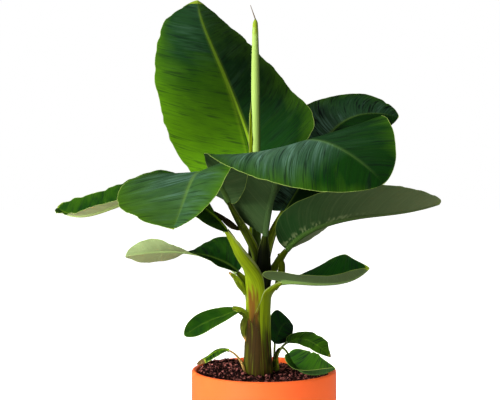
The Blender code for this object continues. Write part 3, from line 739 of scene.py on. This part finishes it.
def add_blade(leaf, seed):
    """The blade as a thin closed sheet: upper side, underside with the midrib's keel, and margin."""
    stations, across = BIG_GRID if leaf.length >= SMALL_BLADE else SMALL_GRID
    even = np.linspace(0, 1, stations)
    share = (even + (1 - np.cos(np.pi * even)) / 2) / 2
    centre, forward, left, up = midrib(leaf, leaf.stalk + CLEARANCE + share * (leaf.length - CLEARANCE))
    halves = []
    for side, sign in ((0, 1), (1, -1)):
        x, part, run, rise, sweep, width = half_blade(leaf, side, share, across, seed + side)
        points = (centre[:, None] + sign * run[..., None] * left[:, None] + rise[..., None] * up[:, None]
                  - sweep[..., None] * forward[:, None])
        halves.append((points, sign * x, part, np.broadcast_to(width[:, None], x.shape)))
    top, x, part, width = (np.concatenate([a[:, :0:-1], b], 1) for a, b in zip(*halves))
    share = share[:, None]
    away = np.abs(x)
    rib = rib_half(leaf, share, width)
    vein = share * leaf.length - math.tan(math.radians(leaf.slant)) * away - VEIN_HOOK * width * part ** 3
    normal = unit(np.cross(np.gradient(top, axis=1), np.gradient(top, axis=0)))
    top = top + normal * relief(leaf, seed, share, x, part, rib, vein)[..., None]
    thickness = MARGIN_THICKNESS + (BLADE_THICKNESS - MARGIN_THICKNESS) * (1 - part)
    keel = KEEL_DEPTH * leaf.stalk_depth[2] * (1 - RIB_TAPER * share)
    keel = keel * np.sqrt(1 - np.clip(away / rib, 0, 1) ** 2) * smooth(-0.02, 0.02, 1 - share)
    bottom = top - normal * (thickness + keel)[..., None]
    faces, face_material = sheet_faces(*x.shape)
    attributes = blade_attributes(leaf, seed, share, x, part, width, rib, vein)
    piece = add_mesh("blade_" + leaf.name, np.stack([top, bottom]), faces, [UPPER, UNDER], face_material,
                     attributes, sharp=55)
    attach(piece, "root")
    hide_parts("leaf_" + leaf.name)


# ---- Stalks, sheaths and stems ----
STEM_PROFILE = [(0.00, 0.0245), (0.15, 0.0238), (0.40, 0.0222), (0.70, 0.0212), (1.00, 0.0218)]
PUP_PROFILE = [(0.0, 0.0075), (0.5, 0.0066), (1.0, 0.0062)]
SHEATH_STEP = 0.0006          # each layer of sheath lies this much further in
SHEATH_THICKNESS = 0.0020
SHEATH_EDGE = 0.0003
SHEATH_UNEVEN = 0.012         # share of the radius
SHEATH_SUNK = 0.004           # how far stem and sheaths go down into the soil
WING_WIDTH = 0.0205           # half width of a stalk with its wings where it leaves the stem
SHEATH_TOP_WRAP = 50          # half the angle a sheath covers where its stalk leaves the stem
OLD_TOP_WRAP = 8              # the same where an old sheath ends
SHEATH_ROWS = 36
OLD_SHEATH_ROWS = 44
CORE_GRID = (30, 48)          # rings of the stem's core, and points round them
SCRAP_GRID = (26, 9)
STALK_FULLNESS = 0.4          # how much wider a stalk with wings is than the model's
STALK_STEP = 0.0022
STALK_BACK = 78               # half the angle of a stalk's round back
CORE_SHARE = 0.72             # radius of the stem's core, as a share of the sheaths'
TORN_HEIGHT = 0.014           # how far up and down the old sheaths' torn edges go
STALK_LOW_YELLOW = 0.22       # how yellow a stalk's sheath is


@dataclass
class Stem:
    """What the sheaths wrap: an upright axis, with a radius for each share of its height."""
    x: float
    y: float
    low: float
    high: float
    profile: list

    def radius(self, z):
        shares, radii = zip(*self.profile)
        return ease(shares, radii, np.clip((z - self.low) / (self.high - self.low), 0, 1))


STEM = Stem(STEM_X, 0.0, STEM_LOW.z, STEM_TOP, STEM_PROFILE)
PUP = Stem(PUP_X, PUP_Y, PUP_LOW.z, PUP_TOP, PUP_PROFILE)


def round_stem(stem, radius, angle, z):
    return rows_of(stem.x + radius * np.cos(angle), stem.y + radius * np.sin(angle), z[:, None])


def sheath_rings(stem, z, bearing, half_wrap, layer):
    """Rings of a sheath: out along its outer face from left to right and back along its inner face."""
    t = np.linspace(1, -1, SHEATH_POINTS)
    angle = np.radians(bearing + half_wrap[:, None] * t)
    radius = (stem.radius(z) - layer * SHEATH_STEP)[:, None]
    radius = radius * (1 + SHEATH_UNEVEN * wander(61, z[:, None] / 0.02, 3 + angle * 1.5))
    thick = SHEATH_EDGE + SHEATH_THICKNESS * (1 - t ** 2) * np.minimum(1, radius / 0.02)
    outer = round_stem(stem, radius, angle, z)
    inner = round_stem(stem, radius - thick, angle, z)
    return np.concatenate([outer, inner[:, ::-1]], 1)


def stalk_rings(centre, left, up, half_width, depth):
    """Rings of a channelled stalk, point for point with a sheath's."""
    t = np.linspace(1, -1, SHEATH_POINTS)
    back_angle = np.radians(STALK_BACK) * t
    groove_height = -STALK_GROOVE * (1 - t ** 2) ** 1.2

    def ring(x, y):
        return (centre[:, None] + (half_width[:, None] * x)[..., None] * left[:, None]
                + (depth[:, None] * (y + STALK_GROOVE))[..., None] * up[:, None])

    return np.concatenate([ring(np.sin(back_angle), -np.cos(back_angle)),
                           ring(0.92 * t, groove_height)[:, ::-1]], 1)


def tube_faces(rows, columns):
    """Faces of a closed tube of rings, whose ends close across from outer to inner face."""
    side = strip_faces(rows, columns, closed=True)
    k = np.arange(columns // 2 - 1)
    low = np.stack([k, k + 1, columns - 2 - k, columns - 1 - k], 1)
    return [side, low[:, ::-1], low + (rows - 1) * columns]


def stem_tones(rings, stem):
    """Shares of brown and orange: old sheaths brown at the front's left, and orange where they tear."""
    if stem is not STEM:
        return 0 * rings[..., 0], 0 * rings[..., 0]
    x, y, z = rings[..., 0] - stem.x, rings[..., 1] - stem.y, rings[..., 2]
    bearing = np.degrees(np.arctan2(y, x)) % 360
    torn = z + TORN_HEIGHT * wander(62, bearing / 9, z / 0.02)
    low = smooth(0.27, 0.24, z)
    side = smooth(190 + 35 * low, 225 + 30 * low, bearing) * smooth(296, 268, bearing)
    brown = 0.10 + 0.45 * side * smooth(0.345, 0.30, torn)
    brown = brown + 0.32 * smooth(268, 285, bearing) * smooth(0.32, 0.25, torn)
    orange = 0.55 * smooth(205, 230, bearing) * smooth(285, 258, bearing) * smooth(0.385, 0.335, torn)
    return brown, orange * smooth(0.285, 0.315, torn)


def stalk_attributes(rings, arc, seed, yellow, brown, dry, stem):
    """Numbers for the stalk's paint. Yellow, brown and dry are for all the rings or for each."""
    columns = rings.shape[1]
    t = np.concatenate([np.linspace(1, -1, columns // 2), np.linspace(-1, 1, columns // 2)])
    girth = np.linalg.norm(rings[:, 0] - rings[:, columns // 4], axis=1)[:, None]
    # painted shade on the inner faces, the second half of each ring
    inner = 0.3 * (np.arange(columns) >= columns // 2)
    yellow, brown, dry = (np.broadcast_to(tone, arc.shape)[:, None] for tone in (yellow, brown, dry))
    stem_brown, orange = stem_tones(rings, stem)
    return {
        "vein": rows_of(arc[:, None], t * girth, seed),
        "tone": rows_of(yellow, np.maximum(brown, stem_brown), dry),
        "part": rows_of(inner, (1 - np.abs(t)) * girth * 1000, orange),
    }


def add_stalk(leaf, seed):
    """A leaf's stalk with the sheath that carries it down to the soil."""
    stem = PUP if leaf.name.startswith("pup_") else STEM
    above = np.linspace(0, leaf.stalk, max(16, int(leaf.stalk / STALK_STEP)))
    below = np.zeros(0)
    if leaf.sheath:
        height = leaf.foot[2] - stem.low + SHEATH_SUNK
        below = np.linspace(-height, 0, SHEATH_ROWS, endpoint=False)
    arc = np.concatenate([below, above])
    centre, _, left, up = midrib(leaf, arc)
    share = np.clip(arc / leaf.stalk, 0, 1)
    centre[:, 0] += leaf.shift * (1 - smooth(0.35, 1, share)) * smooth(-0.03, 0.02, arc)
    knots = (0, STALK_MIDDLE, 1)
    half_width = ease(knots, leaf.stalk_width, share)
    if leaf.wings:
        half_width = half_width * (1 + STALK_FULLNESS * smooth(1, 0.75, share))
        half_width = np.maximum(half_width, WING_WIDTH * (1 - smooth(0.25, 1.25, arc / leaf.wings)))
    rings = stalk_rings(centre, left, up, half_width, ease(knots, leaf.stalk_depth, share))
    if leaf.sheath:
        layer, wrap, reach = leaf.sheath
        grown = max(0.8 * leaf.wings, 0.6 * leaf.stalk_width[1] * 5)
        half_wrap = SHEATH_TOP_WRAP + (wrap - SHEATH_TOP_WRAP) * smooth(-0.02, reach, -arc)
        around = sheath_rings(stem, centre[:, 2], leaf.bearing[0], half_wrap, layer)
        stalk_share = smooth(-0.012, grown, arc)[:, None, None]
        rings = around * (1 - stalk_share) + rings * stalk_share
    yellow = leaf.stalk_tone[0] + (leaf.stalk_tone[1] - leaf.stalk_tone[0]) * share ** 2.5
    yellow = yellow + (STALK_LOW_YELLOW - yellow) * smooth(-0.01, 0.09, -arc)
    attributes = stalk_attributes(rings, arc, seed, yellow, 0.0, leaf.withered, stem)
    # painted shade low on the stalk, only above its foot
    dark, reach = leaf.painted_shade
    dark = dark * smooth(reach + 0.15, reach - 0.15, share) * smooth(-0.012, 0.012, arc)
    # the inner faces' painted shade fades out towards the blade
    inner = attributes["part"][..., 0] * smooth(0.95, 0.4, share)[:, None]
    attributes["part"][..., 0] = np.maximum(inner, dark[:, None])
    piece = add_mesh("stalk_and_sheath_" + leaf.name, rings, tube_faces(*rings.shape[:2]), [STALK], None,
                     attributes, sharp=60)
    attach(piece, "root")
    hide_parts("stalk_" + leaf.name)


def add_stem(name, stem, node, old_sheaths, seed):
    """The core of a stem with the sheaths of leaves that have gone."""
    foot = stem.low - SHEATH_SUNK
    core_z = np.linspace(foot, stem.high, CORE_GRID[0])
    core_radius = stem.radius(core_z)[:, None] * CORE_SHARE
    core = round_stem(stem, core_radius, round_angles(CORE_GRID[1]), core_z)
    shells = [(core, core_z - stem.high, 0.1, 0.4)]
    for bearing, top, wrap, layer, reach, yellow, brown in old_sheaths:
        z = np.linspace(foot, top, OLD_SHEATH_ROWS)
        half_wrap = OLD_TOP_WRAP + (wrap - OLD_TOP_WRAP) * smooth(0, reach, top - z)
        shells.append((sheath_rings(stem, z, bearing, half_wrap, layer), z - stem.high, yellow, brown))
    points, faces, attributes = [], [], {}
    start = 0
    for rings, arc, yellow, brown in shells:
        tones = stalk_attributes(rings, arc, seed + start % 97, yellow, brown, 0.0, stem)
        for key, numbers in tones.items():
            attributes.setdefault(key, []).append(numbers.reshape(-1, 3))
        faces += [part + start for part in tube_faces(*rings.shape[:2])]
        points.append(rings.reshape(-1, 3))
        start += rings.shape[0] * rings.shape[1]
    attributes = {key: np.concatenate(numbers) for key, numbers in attributes.items()}
    piece = add_mesh(name, np.concatenate(points), faces, [STALK], None, attributes, sharp=60)
    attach(piece, "root")
    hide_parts(node)


# Scraps of withered sheath on the stem: points, half widths there, and shares of yellow, brown and dry
SCRAPS = {
    "small_leaf_stalk": (((-0.024, -0.010, 0.300), (-0.030, -0.011, 0.311), (-0.041, -0.008, 0.319),
                          (-0.052, -0.005, 0.322)), (0.0085, 0.0065, 0.0048, 0.0030), 0.40, 0.0, -1.0),
    "green_scrap": (((-0.026, -0.010, 0.316), (-0.032, -0.010, 0.300), (-0.033, -0.008, 0.283),
                     (-0.030, -0.010, 0.267)), (0.0030, 0.0062, 0.0055, 0.0012), 0.30, 0.0, 0.05),
    "pale_scrap": (((-0.030, -0.008, 0.345), (-0.039, -0.010, 0.361), (-0.049, -0.009, 0.374),
                    (-0.058, -0.008, 0.381)), (0.0035, 0.0058, 0.0045, 0.0012), 0.60, 0.1, -0.2),
    "maroon_wedge": (((-0.083, -0.030, 0.483), (-0.066, -0.026, 0.470), (-0.051, -0.020, 0.458),
                      (-0.038, -0.016, 0.4515)), (0.0012, 0.0050, 0.0055, 0.0010), -0.4, 0.42, -0.5),
    "rolled_edge": (((-0.0215, -0.004, 0.560), (-0.0218, -0.004, 0.595), (-0.0222, -0.003, 0.630),
                     (-0.0215, -0.002, 0.662)), (0.0034, 0.0034, 0.0024, 0.0006), 0.90, -0.3, -1.0),
    "right_scrap": (((0.018, -0.004, 0.352), (0.027, -0.004, 0.372), (0.029, -0.003, 0.393),
                     (0.024, -0.002, 0.412)), (0.0040, 0.0060, 0.0062, 0.0020), 0.65, 0.0, -0.6),
}


def add_scrap(name, spine, half_widths, yellow, brown, dry, seed):
    """A thin crinkled strip that faces the front, narrowing to its tip."""
    knots = np.linspace(0, 1, len(spine))
    share = np.linspace(0, 1, SCRAP_GRID[0])
    centre = np.stack([ease(knots, axis, share) for axis in zip(*spine)], 1)
    forward = unit(np.gradient(centre, axis=0))
    side = unit(np.cross(forward, (0, -1, 0)))
    normal = np.cross(side, forward)
    t = np.linspace(1, -1, SCRAP_GRID[1])
    width = ease(knots, half_widths, share) * (1 + 0.15 * wander(seed, share * 9))
    x = width[:, None] * t
    crinkle = 0.0010 * wander(seed + 1, share[:, None] * 8, t * 1.5)
    height = 0.35 * width[:, None] * (1 - t ** 2) + crinkle
    face = centre[:, None] + x[..., None] * side[:, None] + height[..., None] * normal[:, None]
    back = face - (0.0003 + 0.0005 * (1 - t ** 2))[None, :, None] * normal[:, None]
    rings = np.concatenate([face, back[:, ::-1]], 1)
    dry = dry + smooth(0.75, 1, share)
    attributes = stalk_attributes(rings, share * 0.06, seed, yellow, brown, dry, None)
    piece = add_mesh(name, rings, tube_faces(*rings.shape[:2]), [STALK], None, attributes, sharp=60)
    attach(piece, "root")


ROLLED_PROFILE = [
    (0.3323, 0.0060),
    (0.420, 0.0075),
    (0.560, 0.0078),
    (0.640, 0.0075),
    (0.720, 0.0068),
    (0.768, 0.0054),
    (0.784, 0.0048),
    (0.796, 0.0030),
    (0.799, 0.0012),
    (0.822, 0.0010),
]
ROLLED_X, ROLLED_Y = -0.0115, 0.0020
ROLLED_LEAN = 0.0030
ROLLED_THREAD_LEAN = 0.008
ROLLED_ROWS = 300
ROLLED_SIDES = 64
ROLL_STEP = 0.13              # how far the outer turn stands off at its edge, as a share of the radius
ROLL_EDGE = 303               # bearing of the outer turn's edge
PALE_ABOVE = 0.56
GREEN_BELOW = 0.50
TIP_DRIES = (0.768, 0.786)    # heights between which the roll turns dry


def add_rolled_leaf():
    """The new leaf, rolled up like a scroll with its edge winding up its side, and its end thread."""
    heights, radii = zip(*ROLLED_PROFILE)
    z = np.linspace(heights[0], heights[-1], ROLLED_ROWS)
    foot, thread, top = heights[0], heights[-2], heights[-1]
    radius = ease(heights, radii, z)
    radius = np.where(z > thread, radii[-1] * (1 - 0.5 * smooth(thread, top, z)), radius)
    lean = -ROLLED_LEAN * (z - foot) / (top - foot)
    lean = lean - ROLLED_THREAD_LEAN * np.maximum(0, (z - thread) / (top - thread))
    turn = round_angles(ROLLED_SIDES)
    edge = np.radians(ROLL_EDGE) + 0.3 * (z - foot) / (top - foot)
    round_share = ((turn[None] - edge[:, None]) / (2 * np.pi)) % 1
    step = ROLL_STEP * (smooth(0, 1, round_share) - 0.5) * smooth(thread, thread - 0.01, z)[:, None]
    r = radius[:, None] * (1 + step)
    z = z[:, None]
    points = rows_of(ROLLED_X + lean[:, None] + r * np.cos(turn), ROLLED_Y + r * np.sin(turn), z)
    # a dark band just past the outer turn's edge, partly the seam and partly painted shade on the roll's
    # right side, lighter round the front and left
    pale = 0.72 + 0.28 * round_share - 0.62 * smooth(0.24, 0.08, round_share)
    pale = pale - 1.2 * smooth(PALE_ABOVE, GREEN_BELOW, z)
    ragged = z + 0.012 * wander(77, round_share * 9, z / 0.004)
    dry = 0.5 * smooth(*TIP_DRIES, ragged) + 0.5 * smooth(thread - 0.002, thread, z)
    attributes = {"vein": rows_of(z, round_share * 6, 3), "tone": rows_of(pale, 0, dry)}
    piece = add_mesh("rolled_new_leaf", points, turned_faces(*r.shape), [YOUNG], None, attributes, sharp=50)
    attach(piece, "root")
    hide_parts("rolled_leaf")


# ---- Pot and soil ----
POT_WALL = 0.008
POT_FLOOR = 0.012
POT_FOOT_ROUND = 0.003
POT_SIDES = 256
POT_MIDDLE = 0.002            # radius of the small flat faces in the middle of underside and floor
SOIL_ROWS = 90
SOIL_SIDES = 220
SOIL_MOUND = 0.004            # how far the soil's general level lies below its top in the model
SOIL_RISE = 0.003             # rise round the stem, and fall at the pot's wall
SOIL_LUMPS = ((0.0030, 0.010), (0.0014, 0.004))       # height, size
HEAP = (-0.066, 0.020, 0.044, 0.050)      # x and y of its middle, and its reach along x and y
HEAP_HEIGHT = 0.017


def arc_points(centre_radius, centre_z, radius, start, end, steps):
    return [(centre_radius + radius * math.cos(a), centre_z + radius * math.sin(a))
            for a in np.radians(np.linspace(start, end, steps + 1))]


def add_pot():
    """A straight round pot with a rolled lip and a softened foot."""
    lip = POT_WALL / 2
    inner = POT_RADIUS - POT_WALL
    profile = [(POT_MIDDLE, 0.0)]
    profile += arc_points(POT_RADIUS - POT_FOOT_ROUND, POT_FOOT_ROUND, POT_FOOT_ROUND, -90, 0, 6)
    profile += [(POT_RADIUS, z) for z in np.linspace(POT_FOOT_ROUND, POT_TOP - lip, 20)[1:-1]]
    profile += arc_points(POT_RADIUS - lip, POT_TOP - lip, lip, 0, 180, 14)
    profile += [(inner, z) for z in np.linspace(POT_TOP - lip, POT_FLOOR, 12)[1:]] + [(POT_MIDDLE, POT_FLOOR)]
    turn = round_angles(POT_SIDES)
    r, z = np.array(profile).T[..., None]
    points = rows_of(r * np.cos(turn), r * np.sin(turn), z)
    piece = add_mesh("round_pot", points, turned_faces(len(profile), POT_SIDES), [CLAY], sharp=50)
    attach(piece, "root")
    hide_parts("pot")


def soil_height(x, y):
    """The soil's surface: heaped to the left of the stem and a little round it, and lumpy."""
    from_stem = np.hypot(x - STEM_X, y)
    from_edge = SOIL_RADIUS - np.hypot(x, y)
    heap_x, heap_y, reach_x, reach_y = HEAP
    heap = HEAP_HEIGHT * np.exp(-(((x - heap_x) / reach_x) ** 4 + ((y - heap_y) / reach_y) ** 4))
    lumps = sum(height * wander(41 + n, x / size, y / size) for n, (height, size) in enumerate(SOIL_LUMPS))
    rise = SOIL_RISE * np.exp(-(from_stem / 0.04) ** 2)
    return SOIL_TOP - SOIL_MOUND + rise + heap + lumps - SOIL_RISE * smooth(0.012, 0.0, from_edge)


def add_soil():
    """The soil's lumpy surface down to the pot's floor, with loose crumbs lying on it."""
    turn = round_angles(SOIL_SIDES)
    radius = np.linspace(0.001, SOIL_RADIUS, SOIL_ROWS)[:, None]
    x, y = radius * np.cos(turn), radius * np.sin(turn)
    top = rows_of(x, y, soil_height(x, y))
    wall = rows_of(x[-1:], y[-1:], SOIL_LOW.z)
    ground = np.concatenate([top, wall])
    crumb_points, crumb_faces = crumbs(ground.shape[0] * SOIL_SIDES)
    piece = add_mesh("soil_with_crumbs", np.concatenate([ground.reshape(-1, 3), crumb_points]),
                     [*turned_faces(*ground.shape[:2]), crumb_faces], [SOIL], sharp=35)
    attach(piece, "root")
    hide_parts("soil")


CRUMB_COUNT = 3000
CRUMB_SMALLEST = 0.0008
CRUMB_LARGEST = 0.0044
CRUMB_BARE_RADIUS = 0.0235    # none lie nearer to the stem's axis
GOLDEN = (1 + 5 ** 0.5) / 2


def icosahedron():
    """Corners and outward faces of an icosahedron of radius 1: faces join corners that are near."""
    corners = []
    for a in (-1, 1):
        for b in (-GOLDEN, GOLDEN):
            corners += [(0, a, b), (a, b, 0), (b, 0, a)]
    corners = unit(np.array(corners, float))
    faces = []
    for i in range(12):
        for j in range(i + 1, 12):
            for k in range(j + 1, 12):
                a, b, c = corners[[i, j, k]]
                if max(np.linalg.norm(a - b), np.linalg.norm(b - c), np.linalg.norm(a - c)) < 1.2:
                    outward = np.dot(np.cross(b - a, c - a), a) > 0
                    faces.append((i, j, k) if outward else (i, k, j))
    return corners, np.array(faces)


def crumbs(start):
    """Loose crumbs as knobbly grains, most of them small."""
    rng = np.random.default_rng(7)
    corners, faces = icosahedron()
    angle = rng.uniform(0, 2 * np.pi, CRUMB_COUNT)
    radius = (SOIL_RADIUS - 0.003) * np.sqrt(rng.uniform(0, 1, CRUMB_COUNT))
    size = CRUMB_SMALLEST + (CRUMB_LARGEST - CRUMB_SMALLEST) * rng.uniform(0, 1, CRUMB_COUNT) ** 3
    x, y = radius * np.cos(angle), radius * np.sin(angle)
    keep = np.hypot(x - STEM_X, y) > CRUMB_BARE_RADIUS + size
    x, y, size = x[keep], y[keep], size[keep]
    centre = rows_of(x, y, soil_height(x, y) + size * 0.4)
    shape = corners[None] * (size[:, None] * rng.uniform(0.65, 1.3, (len(x), 12)))[..., None]
    points = (centre[:, None] + shape).reshape(-1, 3)
    return points, (faces[None] + (start + np.arange(len(x)) * 12)[:, None, None]).reshape(-1, 3)


# ---- Stage ----
HORIZON_HEIGHT = 0.547        # the camera's height
CAMERA_X = -0.0232
CAMERA_BACK = 1.8
CAMERA_TILT = 1.48            # degrees below level
CAMERA_LENS = 78.3
FLOOR_RADIUS = 14
FLOOR_SIDES = 96
FLOOR_GLOW = 0.75             # the floor as the camera sees it
FLOOR_LIGHT = 0.45            # how pale it is as it lights the plant
WALL_LIGHT = 0.50
CEILING_LIGHT = 0.28
GLOSS_LIGHT = 0.03            # what the leaves mirror of the walls
SUN_BEARING = 110
SUN_CLIMB = 65
SUN_STRENGTH = 0.8
SUN_SPREAD = 50               # degrees
LAMPS = [                     # name, place, what it points at, width, power, spread in degrees
    ("key", (-1.9, -1.0, 0.95), (0, 0, 0.5), 1.2, 80, 180),
    ("back_fill", (0.6, 2.4, 0.9), (0, 0, 0.45), 1.4, 25, 180),
    ("pot_fill_right", (1.5, -1.3, 0.10), (0, 0, 0.07), 0.5, 0.38, 14),
    ("pot_fill_left", (-1.3, -1.5, 0.10), (0, 0, 0.07), 0.5, 0.38, 14),
]


def add_camera():
    data = bpy.data.cameras.new("camera")
    data.lens = CAMERA_LENS
    camera = add_object("camera", data)
    camera.location = (CAMERA_X, -CAMERA_BACK, HORIZON_HEIGHT)
    camera.rotation_euler = (math.radians(90 - CAMERA_TILT), 0, 0)
    bpy.context.scene.camera = camera


def add_light(name, kind, power, place, aim):
    """A light that points along aim. Leaves and glaze don't mirror it."""
    data = bpy.data.lights.new(name, kind)
    data.energy = power
    lamp = add_object(name, data)
    lamp.location = place
    lamp.rotation_euler = aim.to_track_quat("-Z", "Y").to_euler()
    lamp.visible_glossy = False
    return data


def add_lights():
    """A soft sun from behind and above, and round lamps."""
    a, e = math.radians(SUN_BEARING), math.radians(SUN_CLIMB)
    down = -Vector((math.cos(e) * math.cos(a), math.cos(e) * math.sin(a), math.sin(e)))
    sun = add_light("top", "SUN", SUN_STRENGTH, (0, 0, 0), down)
    sun.angle = math.radians(SUN_SPREAD)
    for name, place, target, size, power, spread in LAMPS:
        lamp = add_light(name, "AREA", power, place, Vector(target) - Vector(place))
        lamp.shape = "DISK"
        lamp.size = size
        lamp.spread = math.radians(spread)


def by_ray(tree, kind, others, those):
    """A shader that answers one kind of ray one way, and all others another way."""
    mix = tree.nodes.new("ShaderNodeMixShader")
    tree.links.new(tree.nodes.new("ShaderNodeLightPath").outputs[kind], mix.inputs[0])
    tree.links.new(others.outputs[0], mix.inputs[1])
    tree.links.new(those.outputs[0], mix.inputs[2])
    return mix


def add_world():
    """A white studio: the walls look white, and light the plant less from above than from the sides."""
    world = bpy.data.worlds.new("studio")
    world.use_nodes = True
    tree = world.node_tree
    new, link = tree.nodes.new, tree.links.new
    shown = tree.nodes["Background"]
    shown.inputs["Color"].default_value = (1, 1, 1, 1)
    height = new("ShaderNodeSeparateXYZ")
    link(new("ShaderNodeTexCoord").outputs["Generated"], height.inputs[0])
    level = new("ShaderNodeMapRange")
    level.inputs["To Min"].default_value = WALL_LIGHT
    level.inputs["To Max"].default_value = CEILING_LIGHT
    link(height.outputs["Z"], level.inputs["Value"])
    lighting = new("ShaderNodeBackground")
    link(level.outputs[0], lighting.inputs["Strength"])
    gloss = new("ShaderNodeBackground")
    gloss.inputs["Strength"].default_value = GLOSS_LIGHT
    answer = by_ray(tree, "Is Camera Ray", by_ray(tree, "Is Glossy Ray", lighting, gloss), shown)
    link(answer.outputs[0], tree.nodes["World Output"].inputs["Surface"])
    bpy.context.scene.world = world


def add_floor():
    """A white floor, which glows a little to the camera so that it looks as white as the walls."""
    turn = round_angles(FLOOR_SIDES)
    points = rows_of(FLOOR_RADIUS * np.cos(turn), FLOOR_RADIUS * np.sin(turn), 0)
    p = Paint("floor", roughness=0.9, specular=0.1)
    p.shader.inputs["Emission Color"].default_value = (1, 1, 1, 1)
    p.shader.inputs["Emission Strength"].default_value = FLOOR_GLOW
    material = p.finish(FLOOR_PALE)
    lighting = p.node("ShaderNodeBsdfDiffuse", Color=(FLOOR_LIGHT,) * 3)
    seen = by_ray(p.tree, "Is Camera Ray", lighting, p.shader)
    p.tree.links.new(seen.outputs[0], p.tree.nodes["Material Output"].inputs["Surface"])
    floor = add_mesh("floor", points, [np.arange(FLOOR_SIDES)[None]], [material])
    floor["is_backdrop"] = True


# Old sheaths: bearing, top, half wrap, layer, height of the slanting edge, yellow, brown
OLD_SHEATHS = [
    (200, 0.316, 75, -0.5, 0.034, 0.4, 0.45),
    (60, 0.300, 80, -0.5, 0.05, 0.3, 0.35),
]
PUP_SHEATHS = [
    (320, 0.226, 100, 0, 0.01, 0.5, 0.3),
]


def main():
    add_camera()
    for number, leaf in enumerate(LEAVES):
        add_blade(leaf, 11 + number * 13)
        add_stalk(leaf, 5 + number * 17)
    add_stem("pseudostem_sheaths", STEM, "pseudostem", OLD_SHEATHS, 71)
    add_stem("sucker_sheaths", PUP, "pup_stem", PUP_SHEATHS, 83)
    for number, (name, scrap) in enumerate(SCRAPS.items()):
        add_scrap(name, *scrap, 101 + number * 3)
    add_rolled_leaf()
    add_pot()
    add_soil()
    add_floor()
    add_world()
    add_lights()
    bpy.context.scene.view_settings.view_transform = "Standard"


def corners(box):
    return [list(map(float, corner)) for corner in box]


main()
{"cad": corners(CAD_BOX), "visual": corners(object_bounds())}
